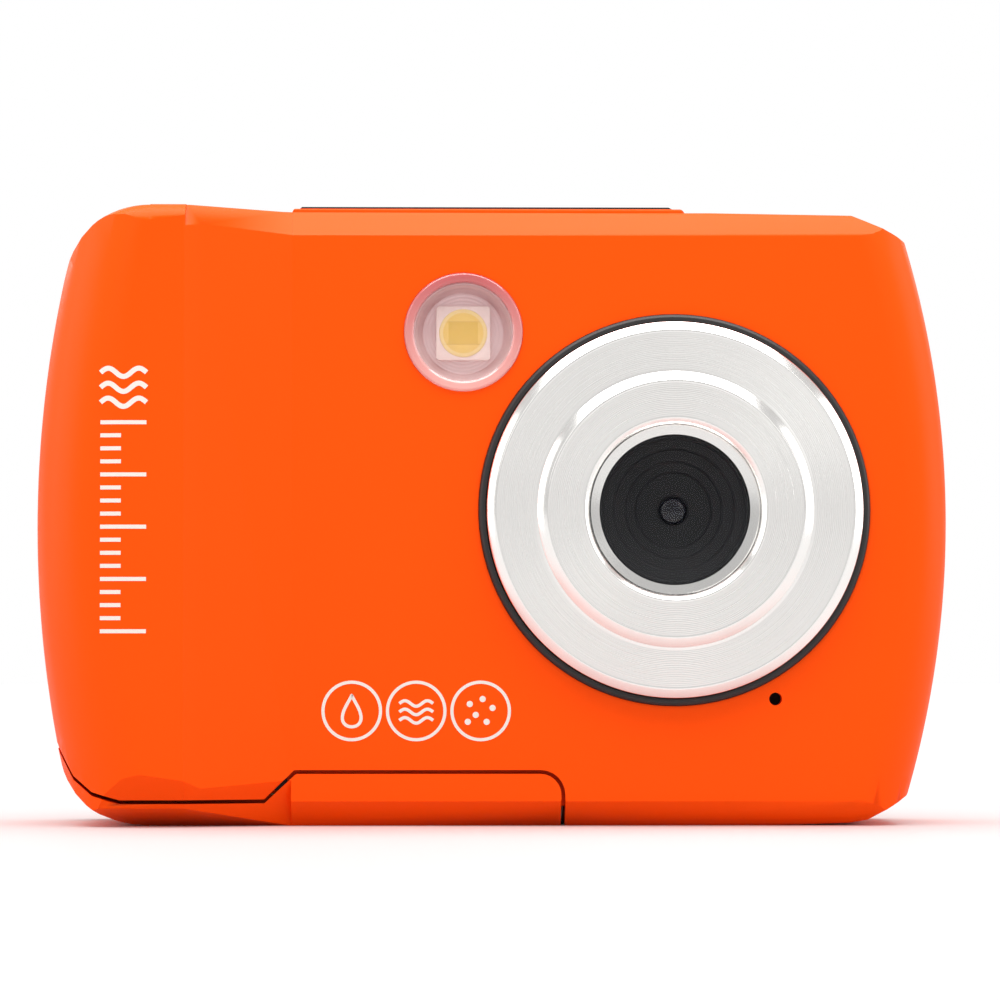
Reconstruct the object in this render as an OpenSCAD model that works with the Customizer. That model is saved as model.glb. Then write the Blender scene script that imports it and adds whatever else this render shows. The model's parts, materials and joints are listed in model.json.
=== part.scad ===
// Compact splash-proof camera with a moulded grip, a wide lens bezel and a hinged battery door.
// Millimetres. +X is to the right seen from the front, +Y points to the back, +Z is up.
// The origin is the bottom centre of the whole camera.

/* [Case] */
// Overall width
case_w = 92.8; // [92:0.1:94]
// Distance from the middle to the flat front face
face_y = 9; // [8.8:0.1:9.2]
// Distance from the middle to the front of the grip
grip_y = 13; // [12.8:0.1:13.2]
// Distance from the middle to the flat back face
back_y = 12.4; // [12.2:0.1:12.6]
// Height of the case top
case_h = 62.3; // [62:0.1:62.6]
// Height of the grip top
grip_h = 62.65; // [62.6:0.05:62.9]
// Wall thickness of the shells
wall = 1.8; // [1.6:0.1:2]
// Where the front and back shells meet
split_y = 5; // [4.9:0.1:5.1]

/* [Lens] */
// Lens centre to the right of the middle
lens_x = 18.3; // [18:0.1:18.6]
// Lens centre height
lens_z = 31.9; // [31.6:0.1:32.2]
// Radius of the black trim ring
trim_r = 19.8; // [19.6:0.05:20]
// Radius of the lens window
window_r = 8.55; // [8.4:0.05:8.6]

/* [Flash] */
// Flash centre sideways
flash_x = -3.05; // [-3.4:0.05:-2.8]
// Flash centre height
flash_z = 49.9; // [49.6:0.1:50.2]
// Radius of the flash window
flash_r = 6; // [5.9:0.05:6.1]

/* [Buttons] */
// Gap around every button
button_gap = 0.3; // [0.25:0.05:0.35]
// How far the buttons stand proud of the back
button_rise = 0.5; // [0.4:0.1:0.6]

/* [Door] */
// Width of the seam around the battery door
door_gap = 0.4; // [0.3:0.05:0.45]
// Right edge of the door
door_x = 7.05; // [6.9:0.05:7.2]
// Upper edge of the door on the front
door_z = 5.45; // [5.3:0.05:5.5]
// Radius of the hinge barrel
barrel_r = 2.2; // [2.1:0.05:2.2]

/* [Hidden] */
$fn = 64;
far = 60;                        // beyond the case in every direction
eps = 0.01;

// Outline arcs
left_r = 119;
left_c = [left_r - case_w / 2, 30.5];
right_r = 99.3;
right_c = [case_w / 2 - right_r, 31.1];
right_top_z = 59.4;
right_low_z = 3.05;
top_corner_r = 9.4;
low_corner_r = 9.4;

// Front of the grip, in plan
crest_x = -36;
crest_edge_x = -31.1;
ramp_x = -29.4;
face_x = -20.3;
crest_edge_y = grip_y - 0.4;
ramp_y = grip_y - 1.4;
grip_round = 8.4;
crest_roll = 2.7;
end_round_w = 5.1;
end_round_d = 4.8;
back_round = 3;

// Chamfers
face_top_z = 59.7;
face_low_z = 2.5;
crease_z = 4.65;

// Inner layers, front to back
board_y = [4.2, 5.2];
lcd_y = [7.2, 10.2];
button_board_y = [6.4, 7.4];
keypad_y = [7.9, 8.6];
flange_y = [9.4, 10];

// Back controls
pad_x = -29.5;
pad_z = 28;
pad_r = 8.3;
pad_hole_r = 4;
zoom_z = 51;
zoom_size = [16, 6.4];
side_buttons = [["mode", -36.3, 41.3], ["play", -22.7, 41.3], ["menu", -36.3, 14.2], ["delete", -22.7, 14.2]];
side_button_r = 2.6;

// Display
lcd_x = 10;
lcd_z = 32.5;
lcd_window_size = [50, 43];
lcd_active = [46, 34.5];
rim_w = 2;
rim_y = 13;

// Top controls
strip_x = [-19.8, 18.5];
strip_y = [-4.6, 4];
strip_top = 63.05;
strip_low = 61.3;
plinth_top = 62.8;
shutter_x = -12.2;
shutter_len = 9;
shutter_r = 2.8;
power_x = 0.5;
power_r = 2.2;
speaker_x = 12;

// Cells
cell_r = 5.25;
cell_len = 43.5;
cell_low = 6.6;
cells = [[-35.6, -4.4], [-24.6, -1.9]];
tube_r = 5.9;
foot_top = 8.5;                  // below it the cradle follows the case's inner form
tray_z = 2.9;

// Hinge
hinge_y = 8.8;
hinge_z = 2.2;
pin_r = 0.6;
shell_knuckles = [[-35.5, -31.3], [-22.7, -6.3], [2.3, 6.6]];
door_knuckles = [[-31, -23], [-6, 2]];
swing_gap = 0.3;

// Fasteners and mounts
screws = [[40, 44.5], [40, 19], [-19, 57.6], [-37.4, 57.3]];
boss_r = 2.1;
screw_r = 0.85;
socket = [25, -1.2];
socket_r = 4.2;
socket_h = 6;
thread_r = 3.175;
strap_z = 43.5;
strap_y = 0.5;
strap_x = -44.7;

function arc(c, r, from, to, n = 8) =
    [for (i = [0:n]) let (a = from + (to - from) * i / n) [c[0] + r * cos(a), c[1] + r * sin(a)]];
function corner_c(r, z) = [left_c[0] - sqrt(pow(left_r - r, 2) - pow(z - left_c[1], 2)), z];
function angle_of(v) = atan2(v[1], v[0]);
function rounded(x0, x1, z0, z1, r) = concat(
    arc([x1 - r, z0 + r], r, -90, 0, 5), arc([x1 - r, z1 - r], r, 0, 90, 5),
    arc([x0 + r, z1 - r], r, 90, 180, 5), arc([x0 + r, z0 + r], r, 180, 270, 5));

top_c = corner_c(top_corner_r, grip_h - top_corner_r);
low_c = corner_c(low_corner_r, low_corner_r);
top_join = angle_of(top_c - left_c);
low_join = 360 + angle_of(low_c - left_c);
right_top_a = asin((right_top_z - right_c[1]) / right_r);
right_low_a = asin((right_low_z - right_c[1]) / right_r);

// Outline of the case seen from the front, grown by g
function outline(g) = concat(
    arc(right_c, right_r + g, right_low_a, right_top_a, 12),
    [[40.3 + 0.45 * g, 60.25 + 0.9 * g], [37.8 + 0.3 * g, 61.45 + 0.95 * g]],
    [[36.5, case_h - 0.25 + g], [22, case_h + g], [-21.5, case_h + g], [-30.5, grip_h + g]],
    arc(top_c, top_corner_r + g, 90, top_join, 8),
    arc(left_c, left_r + g, top_join, low_join, 12),
    arc(low_c, low_corner_r + g, low_join, 270, 8),
    [[30, -g], [36.2 + 0.2 * g, 0.22 - g], [38 + 0.4 * g, 0.55 - 0.9 * g]]);

// Outline of the case seen from above, grown by g
function plan(g) = [[-far, -grip_y - g], [crest_x, -grip_y - g], [crest_edge_x, -crest_edge_y - g],
    [ramp_x, -ramp_y - g], [face_x, -face_y - g], [far, -face_y - g], [far, back_y + g], [-far, back_y + g]];

// The door's region seen from the front, grown by g
function door_region(g) = concat(
    [[-far, -far], [door_x + g, -far]],
    arc([door_x - 2.3, door_z - 2.3], 2.3 + g, 0, 90, 6),
    [[-20 - 0.4 * g, door_z + g], [-23.1, face_low_z + g], [-37.5, face_low_z + g]],
    [[-40.3, 3.3 + g], [-42.3, 4.9 + g], [-44.1, 8 + g], [-far, 8 + g]]);

module block(low, high) {
    translate(low) cube(high - low);
}

module prism_x(x0, x1) {
    translate([x0, 0, 0]) rotate([90, 0, 90]) linear_extrude(x1 - x0) children();
}

module prism_y(y0, y1) {
    translate([0, y1, 0]) rotate([90, 0, 0]) linear_extrude(y1 - y0) children();
}

module rod_x(y, z, r, x0, x1) {
    translate([x0, y, z]) rotate([0, 90, 0]) cylinder(r = r, h = x1 - x0);
}

module rod_y(x, z, r, y0, y1) {
    translate([x, y0, z]) rotate([-90, 0, 0]) cylinder(r = r, h = y1 - y0);
}

module rod_z(x, y, r, z0, z1) {
    translate([x, y, z0]) cylinder(r = r, h = z1 - z0);
}

// A turned piece about a line along Y; the profile is [radius, distance forward]
module turned(x, z) {
    translate([x, 0, z]) rotate([90, 0, 0]) rotate_extrude($fn = 96) children();
}

// Everything beyond a plane, between two heights of x
module beyond(point, normal, x0, x1) {
    n = normal / norm(normal);
    intersection() {
        translate(point) rotate([0, acos(n[2]), atan2(n[1], n[0])])
            translate([-far * 1.5, -far * 1.5, 0]) cube(far * 3);
        block([x0, -far, -far], [x1, far, 2 * far]);
    }
}

// The round ends: a big disc whose rim is rounded at the front and the back
module end_disc(c, r, round_w, round_d, front, back, g) {
    turned(c[0], c[1]) polygon(concat(
        [[0, -back - g], [r + g - back_round, -back - g], [r + g - back_round * 0.3, -back - g + back_round * 0.3]],
        [[r + g, -back - g + back_round]],
        [for (a = [0:15:90]) [r + g - round_w + round_w * cos(a), front + g - round_d + round_d * sin(a)]],
        [[0, front + g]]));
}

// Outer form of the whole case, grown by g
module case_form(g) {
    difference() {
        intersection() {
            prism_y(-far / 2, far / 2) polygon(outline(g));
            translate([0, 0, -far / 2]) linear_extrude(2 * far) polygon(plan(g));
            end_disc(right_c, right_r, end_round_w, end_round_d + grip_y - face_y, grip_y, back_y, g);
            end_disc(left_c, left_r, grip_round, grip_round, grip_y, back_y, g);
        }
        chamfers(g);
    }
}

module chamfers(g) {
    k = g * sqrt(2);
    face_cut = face_x - (g < 0 ? 1 : 0.1);
    crest_cut = crest_edge_x + (g < 0 ? 0.5 : 0.1);
    // top front: the flat face and the ramp
    beyond([0, -face_y, face_top_z + k], [0, -1, 1], face_cut, far);
    beyond([face_x, -face_y, face_top_z + k], [4.14, -10.8, 10.8], crest_cut, face_cut);
    // bottom front: the flat face, the grip's underside and its lower bevel
    beyond([0, -face_y, face_low_z - k], [0, -1, -1], face_cut, far);
    beyond([0, -12.6, face_low_z - g], [0, -2.5, -6.1], -far, face_cut);
    beyond([face_x, -face_y, crease_z - g], [7.74, -23.22, -12.96], crest_cut, face_cut);
    beyond([0, -crest_edge_y, crease_z - g], [0, -2.15, -1.2], -far, crest_cut);
    // back
    beyond([0, back_y, case_h - 2.6 + k], [0, 1, 1], -far, far);
    beyond([0, back_y, 2.6 - k], [0, 1, -1], -far, far);
    // the flat face's right end, rounded on past the grip's depth
    right_roll(g);
    // the crest of the grip: a plain bevel inside, rolled over its top and round its corner outside
    if (g < 0)
        beyond([0, -grip_y, 60.1 + k], [0, -1, 1], -far, crest_cut);
    else
        for (a = [15:15:75])
            beyond([0, crest_roll - grip_y - crest_roll * sin(a), grip_h - crest_roll + crest_roll * cos(a)],
                [0, -sin(a), cos(a)], -far, crest_cut);
    if (g == 0)
        corner_roll();
}

// Rolls the front edge of the grip over as it goes round the top corner
module corner_roll() {
    intersection() {
        turned(top_c[0], top_c[1]) polygon(concat(
            [for (a = [15:15:75]) [top_corner_r - crest_roll + crest_roll * cos(a),
                grip_y - crest_roll + crest_roll * sin(a)]],
            [[top_corner_r - 2 * crest_roll, grip_y + 0.4], [top_corner_r - 2 * crest_roll, far]],
            [[far, far], [far, grip_y - 3 * crest_roll], [top_corner_r + 0.6, grip_y - 3 * crest_roll]]));
        block([-far, -far, top_c[1]], [top_c[0], far, 2 * far]);
    }
}

// The soft round between the flat face and the right end
module right_roll(g) {
    turned(right_c[0], right_c[1]) polygon(concat(
        [for (a = [0:15:90]) [right_r + g - end_round_w + end_round_w * cos(a),
            face_y + g - end_round_d + end_round_d * sin(a)]],
        [[right_r + g - end_round_w, far], [right_r + far, far], [right_r + far, face_y + g - end_round_d]]));
}

module case_wall() {
    difference() {
        case_form(0);
        case_form(-wall);
    }
}

module hinge_swing() {
    rod_x(hinge_y, hinge_z, barrel_r + swing_gap, -44, door_x + door_gap / 2);
}

module front_shell() {
    color([1, 0.34, 0.02])
    difference() {
        union() {
            intersection() {
                case_wall();
                block([-far, -far, -1], [far, split_y, far + 10]);
            }
            prism_y(-5.3, 4.7) polygon([[-20.7, 62], [-20.3, plinth_top], [19.3, plinth_top], [19.9, 62]]);
            for (s = screws)
                rod_y(s[0], s[1], boss_r, wall - eps - (s[0] < crest_x ? grip_y : face_y), split_y - 0.2);
            rod_z(socket[0], socket[1], socket_r + 1.2, 0.9, socket_h + 0.4);
            block([-45.2, -3, 38.5], [-42.2, 4, 48.5]);
        }
        rod_y(lens_x, lens_z, trim_r + 0.05, -far, -face_y + 1.1);
        rod_y(lens_x, lens_z, trim_r - 2.6, -far, -face_y + wall + 1);
        rod_y(flash_x, flash_z, flash_r + 0.05, -far, -face_y + 0.8);
        rod_y(flash_x, flash_z, flash_r - 0.8, -far, -face_y + wall + 1);
        rod_y(28.5, 12.8, 0.65, -far, -face_y + wall + 1);
        strip_cut();
        block([-18.6, -4.1, 59], [16.9, 3.5, far + 10]);
        prism_y(-far, far) polygon(door_region(door_gap / 2));
        for (s = screws)
            rod_y(s[0], s[1], screw_r + 0.05, -4.6, far);
        rod_z(socket[0], socket[1], socket_r, -1, socket_h);
        block([-far, -1.9, strap_z - 3.4], [-43.3, 2.9, strap_z + 3.4]);
        rod_z(strap_x, strap_y, 0.75, strap_z - 4.2, strap_z + 4.2);
        gasket_ring(split_y - 0.5);
    }
}

// The recess that the top plate drops into
module strip_cut() {
    prism_y(strip_y[0] - 0.05, strip_y[1] + 0.05)
        polygon([[strip_x[0] - 0.05, strip_low], [strip_x[0] - 0.05, far + 10],
            [strip_x[1] + 0.05, far + 10], [strip_x[1] + 0.05, strip_low]]);
}

module gasket_ring(y0) {
    difference() {
        prism_y(y0, y0 + 1) polygon(outline(-0.5));
        prism_y(y0 - 1, y0 + 2) polygon(outline(-1.3));
    }
}

module shell_gasket() {
    color([0.16, 0.16, 0.17])
    difference() {
        gasket_ring(split_y - 0.5);
        prism_y(-far, far) polygon(door_region(door_gap));
    }
}

module rear_shell() {
    color([1, 0.34, 0.02])
    difference() {
        union() {
            difference() {
                union() {
                    intersection() {
                        case_wall();
                        block([-far, split_y, -1], [far, far, far + 10]);
                    }
                    for (s = screws)
                        rod_y(s[0], s[1], boss_r + 0.6, split_y, back_y - wall + eps);
                    prism_y(back_y - 0.5, rim_y) polygon(lcd_outline(rim_w, 3));
                }
                intersection() {
                    prism_y(-far, hinge_y) polygon(door_region(door_gap / 2));
                    block([-far, -far, -far], [far, hinge_y, far]);
                }
                hinge_swing();
            }
            for (k = shell_knuckles) {
                rod_x(hinge_y, hinge_z, barrel_r, k[0], k[1]);
                block([k[0], hinge_y, hinge_z], [k[1], back_y - wall + 0.5, hinge_z + barrel_r]);
            }
        }
        rod_x(hinge_y, hinge_z, pin_r + 0.01, -36, door_x);
        prism_y(11.5, far) polygon(lcd_outline(0.05, 1.5));
        prism_y(9, far) polygon(lcd_outline(-1.4, 1));
        gasket_ring(split_y - 0.5);
        for (b = side_buttons)
            rod_y(b[1], b[2], side_button_r + button_gap, 9, far);
        rod_y(pad_x, pad_z, pad_r + button_gap, 9, far);
        block([pad_x - zoom_size[0] / 2 - button_gap, 9, zoom_z - zoom_size[1] / 2 - button_gap],
            [pad_x + zoom_size[0] / 2 + button_gap, far, zoom_z + zoom_size[1] / 2 + button_gap]);
        rod_y(pad_x, 57.4, 0.95, 9, far);
        for (s = screws) {
            rod_y(s[0], s[1], screw_r + 0.15, -far, far);
            rod_y(s[0], s[1], 1.75, back_y - 1.3, far);
        }
    }
}

// Rounded rectangle around the display window, grown by g
function lcd_outline(g, r) = rounded(lcd_x - lcd_window_size[0] / 2 - g, lcd_x + lcd_window_size[0] / 2 + g,
    lcd_z - lcd_window_size[1] / 2 - g, lcd_z + lcd_window_size[1] / 2 + g, r);

module top_plate() {
    color([0.1, 0.1, 0.11])
    difference() {
        prism_y(strip_y[0], strip_y[1]) polygon([[strip_x[0], strip_low], [strip_x[0], plinth_top],
            [strip_x[0] + 0.3, strip_top], [strip_x[1] - 0.5, strip_top], [strip_x[1], plinth_top],
            [strip_x[1], strip_low]]);
        shutter_form(button_gap, 60, 65);
        rod_z(power_x, 0, power_r + button_gap, 60, 65);
        for (a = [0:60:300])
            rod_z(speaker_x + 1.9 * cos(a), 1.9 * sin(a) - 0.3, 0.35, 60, 65);
        rod_z(speaker_x, -0.3, 0.35, 60, 65);
    }
}

// Long rounded button, grown by g
module shutter_form(g, z0, z1) {
    for (s = [-1, 1])
        rod_z(shutter_x + s * (shutter_len / 2 - shutter_r), -0.3, shutter_r + g, z0, z1);
    block([shutter_x - shutter_len / 2 + shutter_r, -0.3 - shutter_r - g, z0],
        [shutter_x + shutter_len / 2 - shutter_r, -0.3 + shutter_r + g, z1]);
}

module shutter_button() {
    color([0.12, 0.12, 0.13]) {
        shutter_form(0, 60.9, 63.2);
        shutter_form(0.6, 60.3, 61);
    }
}

module power_button() {
    color([0.12, 0.12, 0.13]) {
        rod_z(power_x, 0, power_r, 60.9, 63.12);
        rod_z(power_x, 0, power_r + 0.7, 60.3, 61);
    }
}

module top_keypad() {
    color([0.3, 0.3, 0.32]) {
        block([-16.4, -3.2, 59], [5, 2.6, 59.6]);
        rod_z(shutter_x, -0.3, 1.4, 58.3, 59.1);
        rod_z(power_x, -0.3, 1.4, 58.3, 59.1);
    }
}

module top_board() {
    color([0.1, 0.35, 0.2]) {
        block([-15.9, -3.2, 56.4], [5, 2.6, 57.2]);
        rod_z(shutter_x, -0.3, 1.7, 57.1, 58.1);
        rod_z(power_x, -0.3, 1.7, 57.1, 58.1);
    }
}

module speaker() {
    color([0.2, 0.2, 0.2])
    difference() {
        rod_z(speaker_x, -0.5, 4.6, 56.2, 59.2);
        rod_z(speaker_x, -0.5, 3.6, 58.5, 60);
    }
}

module lens_trim_ring() {
    color([0.05, 0.05, 0.055])
    turned(lens_x, lens_z) polygon([[trim_r - 3, 7.9], [trim_r, 7.9], [trim_r, 9.35], [trim_r - 0.3, 9.6],
        [trim_r - 0.7, 9.6], [trim_r - 0.7, 8.9], [trim_r - 3, 8.9]]);
}

module lens_outer_ring() {
    color([0.75, 0.76, 0.78])
    turned(lens_x, lens_z) polygon([[12.2, 8.95], [19, 8.95], [19, 10.35], [18.15, 11], [13.2, 11.15], [12.2, 11.15]]);
}

module lens_inner_ring() {
    color([0.75, 0.76, 0.78])
    turned(lens_x, lens_z) polygon([[window_r, 11.25], [9.15, 11.85], [13, 11.85], [13.95, 11.2],
        [12.2, 11.2], [12.2, 8.6], [7.6, 8.6], [7.6, 9.8], [window_r, 9.8]]);
}

module lens_window() {
    color([0.55, 0.6, 0.65, 0.35])
    turned(lens_x, lens_z) polygon([[0, 9.85], [window_r - 0.05, 9.85], [window_r - 0.05, 10.75], [0, 10.75]]);
}

// Stepped black cone between the window and the small lens
module lens_hood() {
    color([0.04, 0.04, 0.045])
    turned(lens_x, lens_z) polygon([[7.55, 5.6], [7.55, 7.3], [16.7, 7.3], [16.7, 8.5], [7.55, 8.5],
        [7.55, 9.75], [7.2, 9.75], [7.2, 9.1], [6.15, 8.9], [6.15, 8.3], [4.9, 8.1], [4.9, 7.5],
        [3.85, 7.3], [3.85, 6.9], [2.4, 6.7], [1.5, 6.5], [1.5, 5.6]]);
}

module lens_element() {
    color([0.3, 0.35, 0.45, 0.4])
    turned(lens_x, lens_z) polygon(concat([[0, 5.6], [1.35, 5.6]],
        [for (a = [0:18:90]) [1.35 * cos(a), 6.1 + 0.45 * sin(a)]]));
}

module lens_barrel() {
    color([0.08, 0.08, 0.09])
    turned(lens_x, lens_z) polygon([[0.9, 0.4], [3.4, 0.4], [3.4, 5.5], [0.9, 5.5]]);
}

module lens_holder() {
    color([0.12, 0.12, 0.13])
    difference() {
        union() {
            rod_y(lens_x, lens_z, 4.6, -4.6, 0);
            block([lens_x - 6, -1.6, lens_z - 6], [lens_x + 6, 1, lens_z + 6]);
        }
        rod_y(lens_x, lens_z, 3.45, -5, -0.35);
        block([lens_x - 4.2, -0.36, lens_z - 4.2], [lens_x + 4.2, 2, lens_z + 4.2]);
    }
}

module infrared_filter() {
    color([0.6, 0.3, 0.35, 0.5])
    block([lens_x - 3, -0.3, lens_z - 3], [lens_x + 3, 0, lens_z + 3]);
}

module image_sensor() {
    color([0.25, 0.25, 0.3])
    block([lens_x - 3.6, 0.3, lens_z - 3.6], [lens_x + 3.6, 1, lens_z + 3.6]);
}

module sensor_board() {
    color([0.1, 0.35, 0.2])
    block([lens_x - 8, 1, lens_z - 8], [lens_x + 8, 1.8, lens_z + 8]);
}

module flash_window() {
    color([1, 0.75, 0.6, 0.4])
    turned(flash_x, flash_z) polygon([[0, 8.3], [flash_r, 8.3], [flash_r, 9.2], [flash_r - 0.2, 9.4],
        [flash_r - 0.8, 9.4], [flash_r - 1.05, 9.15], [0, 9.15]]);
}

module flash_reflector() {
    color([0.8, 0.75, 0.76])
    turned(flash_x, flash_z) polygon([[4.2, 6.6], [flash_r - 0.9, 7.6], [flash_r - 0.9, 8.2], [flash_r - 1.1, 8.2],
        [flash_r - 1.1, 7.8], [4.1, 6.85], [4.1, 6.6]]);
}

module flash_led() {
    color([0.95, 0.95, 0.93])
    block([flash_x - 2.75, -7.5, flash_z - 2.75], [flash_x + 2.75, -6.6, flash_z + 2.75]);
}

module flash_phosphor() {
    color([0.95, 0.85, 0.25])
    turned(flash_x, flash_z) polygon([[0, 7.5], [2.45, 7.5], [2.3, 7.62], [0, 7.7]]);
}

module flash_board() {
    color([0.9, 0.9, 0.88])
    block([flash_x - 6, -6.6, flash_z - 6], [flash_x + 6, -5.6, flash_z + 6]);
}

module microphone() {
    color([0.7, 0.7, 0.68])
    rod_y(28.5, 12.8, 2, -6.6, -5);
}

module microphone_boot() {
    color([0.15, 0.15, 0.16])
    difference() {
        rod_y(28.5, 12.8, 2.6, -7.1, -4.6);
        rod_y(28.5, 12.8, 2, -6.6, -4);
        rod_y(28.5, 12.8, 0.7, -8, -4);
    }
}

module main_board() {
    color([0.1, 0.35, 0.2])
    block([-17, board_y[0], 10], [37, board_y[1], 54.6]);
}

module board_chips() {
    color([0.08, 0.08, 0.09]) {
        block([-3, 2.9, 28], [7, board_y[0], 38]);
        block([-12, 3, 41], [-4, board_y[0], 49]);
        block([30, 3, 17], [36, board_y[0], 24]);
        for (i = [0:3])
            block([27 + 2.4 * i, 3.4, 49], [28.2 + 2.4 * i, board_y[0], 51]);
    }
}

module lcd_window() {
    color([0.2, 0.22, 0.25, 0.5])
    prism_y(11.7, 12.75) polygon(lcd_outline(0, 1.45));
}

module lcd_border() {
    color([0.03, 0.03, 0.035])
    difference() {
        prism_y(11.5, 11.7) polygon(lcd_outline(0, 1.45));
        block([lcd_x - lcd_active[0] / 2, 11, lcd_z - lcd_active[1] / 2 + 0.8],
            [lcd_x + lcd_active[0] / 2, 12, lcd_z + lcd_active[1] / 2 + 0.8]);
    }
}

module lcd_module() {
    color([0.15, 0.17, 0.2]) {
        block([lcd_x - 24.4, lcd_y[0], 11.9], [lcd_x + 24.4, lcd_y[1], 53.1]);
        block([lcd_x - lcd_active[0] / 2, lcd_y[1] - eps, lcd_z - lcd_active[1] / 2 + 0.8],
            [lcd_x + lcd_active[0] / 2, lcd_y[1] + 0.5, lcd_z + lcd_active[1] / 2 + 0.8]);
    }
}

module zoom_rocker() {
    color([0.12, 0.12, 0.13]) {
        prism_x(pad_x - zoom_size[0] / 2, pad_x + zoom_size[0] / 2)
            polygon([[9.6, zoom_z - 2.4], [12.5, zoom_z - 3.2], [12.9, zoom_z - 2.8],
                [12.9, zoom_z + 2.8], [12.5, zoom_z + 3.2], [9.6, zoom_z + 2.4]]);
        block([pad_x - 8.6, 9.3, zoom_z - 3.6], [pad_x + 8.6, 9.8, zoom_z + 3.6]);
    }
}

// A round back button with a flange that keeps it in the case
module back_button(x, z, r) {
    turned(x, z) polygon([[0, -9.4], [r + 0.6, -flange_y[0]], [r + 0.6, -flange_y[1]], [r, -flange_y[1]],
        [r, -back_y - button_rise + 0.25], [r - 0.3, -back_y - button_rise], [0, -back_y - button_rise]]);
}

module side_button(i) {
    color([0.12, 0.12, 0.13]) back_button(side_buttons[i][1], side_buttons[i][2], side_button_r);
}

module mode_button() {
    side_button(0);
}

module play_button() {
    side_button(1);
}

module menu_button() {
    side_button(2);
}

module delete_button() {
    side_button(3);
}

module dpad_carrier() {
    color([0.3, 0.3, 0.32])
    turned(pad_x, pad_z) polygon([[4.1, -8.2], [6.5, -8.2], [6.5, -8.8], [4.1, -8.8]]);
}

module dpad_ring() {
    color([0.12, 0.12, 0.13])
    turned(pad_x, pad_z) polygon([[pad_hole_r, -flange_y[0]], [pad_r + 0.6, -flange_y[0]],
        [pad_r + 0.6, -flange_y[1]], [pad_r, -flange_y[1]], [pad_r, -12.5], [pad_r - 0.4, -12.9],
        [pad_hole_r + 0.8, -12.7], [pad_hole_r, -12.3]]);
}

module ok_button() {
    color([0.14, 0.14, 0.15])
    turned(pad_x, pad_z) polygon([[0, -8.9], [3, -8.9], [3, -9.4], [pad_hole_r - button_gap, -9.6],
        [pad_hole_r - button_gap, -12.2], [pad_hole_r - 0.6, -12.6], [0, -12.65]]);
}

module rear_keypad() {
    color([0.3, 0.3, 0.32])
    difference() {
        prism_y(keypad_y[0], keypad_y[1]) polygon(rounded(pad_x - 11.8, pad_x + 11.4, 9.4, 54.6, 2.5));
        rod_y(pad_x, pad_z, 7.4, 0, far);
    }
}

module button_board() {
    color([0.1, 0.35, 0.2])
    prism_y(button_board_y[0], button_board_y[1]) polygon(rounded(pad_x - 11.8, pad_x + 11.4, 9.4, 54.6, 2.5));
}

module switch_domes() {
    color([0.75, 0.75, 0.76]) {
        for (b = side_buttons)
            rod_y(b[1], b[2], 2, button_board_y[1], 7.75);
        for (a = [0:90:270])
            rod_y(pad_x + 5.2 * cos(a), pad_z + 5.2 * sin(a), 1.2, button_board_y[1], 7.75);
        rod_y(pad_x, pad_z, 2, button_board_y[1], 7.75);
        for (s = [-1, 1])
            rod_y(pad_x + 5.6 * s, zoom_z, 2, button_board_y[1], 7.75);
    }
}

module status_led() {
    color([0.4, 0.85, 0.45])
    rod_y(pad_x, 57.4, 0.9, 9.5, back_y + 0.15);
}

module battery_cells() {
    color([0.2, 0.45, 0.3])
    for (i = [0, 1])
        translate([cells[i][0], cells[i][1], cell_low + i * (cell_len + 1)]) mirror([0, 0, i]) {
            cylinder(r = cell_r, h = cell_len);
            cylinder(r = 1.9, h = cell_len + 1);
        }
}

module battery_cradle() {
    color([0.2, 0.2, 0.22])
    difference() {
        union() {
            for (c = cells)
                rod_z(c[0], c[1], tube_r, foot_top, 52);
            intersection() {
                case_form(-wall - 0.3);
                union() {
                    for (c = cells)
                        rod_z(c[0], c[1], tube_r, 4.7, foot_top + eps);
                    block([-far, -far, 3.6], [6.6, 5.9, 4.8]);
                }
            }
            block([-40.5, -7, 52 - eps], [-19.6, 0.5, 53.2]);
        }
        for (c = cells)
            rod_z(c[0], c[1], cell_r + 0.2, 0, 51.4);
        block([-17.6, 0.2, 3], [-9.4, 4.4, 5]);
        block([-8, 2.3, 3], [4, 4.1, 5]);
    }
}

module upper_contacts() {
    color([0.82, 0.8, 0.72])
    for (c = cells)
        rod_z(c[0], c[1], 3.6, 51.15, 51.4);
}

module battery_door() {
    color([0.98, 0.32, 0.02])
    difference() {
        union() {
            intersection() {
                case_wall();
                prism_y(-far, hinge_y - 0.3) polygon(door_region(-door_gap / 2));
                block([-far, -far, -far], [far, hinge_y - 0.3, far]);
            }
            for (k = door_knuckles) {
                rod_x(hinge_y, hinge_z, barrel_r, k[0], k[1]);
                block([k[0], 6, 0], [k[1], hinge_y, wall]);
            }
            block([-38.8, -5.5, wall - eps], [-20.6, 0.9, tray_z]);
            for (y = [-4.6, 2.1])
                block([-6, y, wall - eps], [6.6, y + 0.5, 3.3]);
        }
        for (k = shell_knuckles)
            rod_x(hinge_y, hinge_z, barrel_r + swing_gap, k[0] - 0.3, k[1] + 0.3);
        rod_x(hinge_y, hinge_z, pin_r + 0.05, -40, door_x);
        block([-3.3, -3.3, -1], [3.8, 1.3, far]);
    }
}

module door_seal() {
    color([0.2, 0.2, 0.21])
    intersection() {
        case_form(-wall - 0.02);
        difference() {
            block([-40, -6.6, wall], [-8, 5.4, 3.1]);
            block([-39, -5.6, 1], [-9, 4.4, 4]);
        }
    }
}

module hinge_pin() {
    color([0.75, 0.76, 0.78])
    rod_x(hinge_y, hinge_z, pin_r, -35.3, 6.4);
}

module door_latch() {
    color([0.15, 0.15, 0.16]) {
        block([-3, -3, 0.4], [1, 1, 2]);
        block([-5, -3.9, 1.95], [6.6, 1.9, 3.05]);
        for (i = [0:3])
            block([-2.6 + i * 0.95, -2.6, 0.15], [-2.15 + i * 0.95, 0.6, 0.45]);
    }
}

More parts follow.
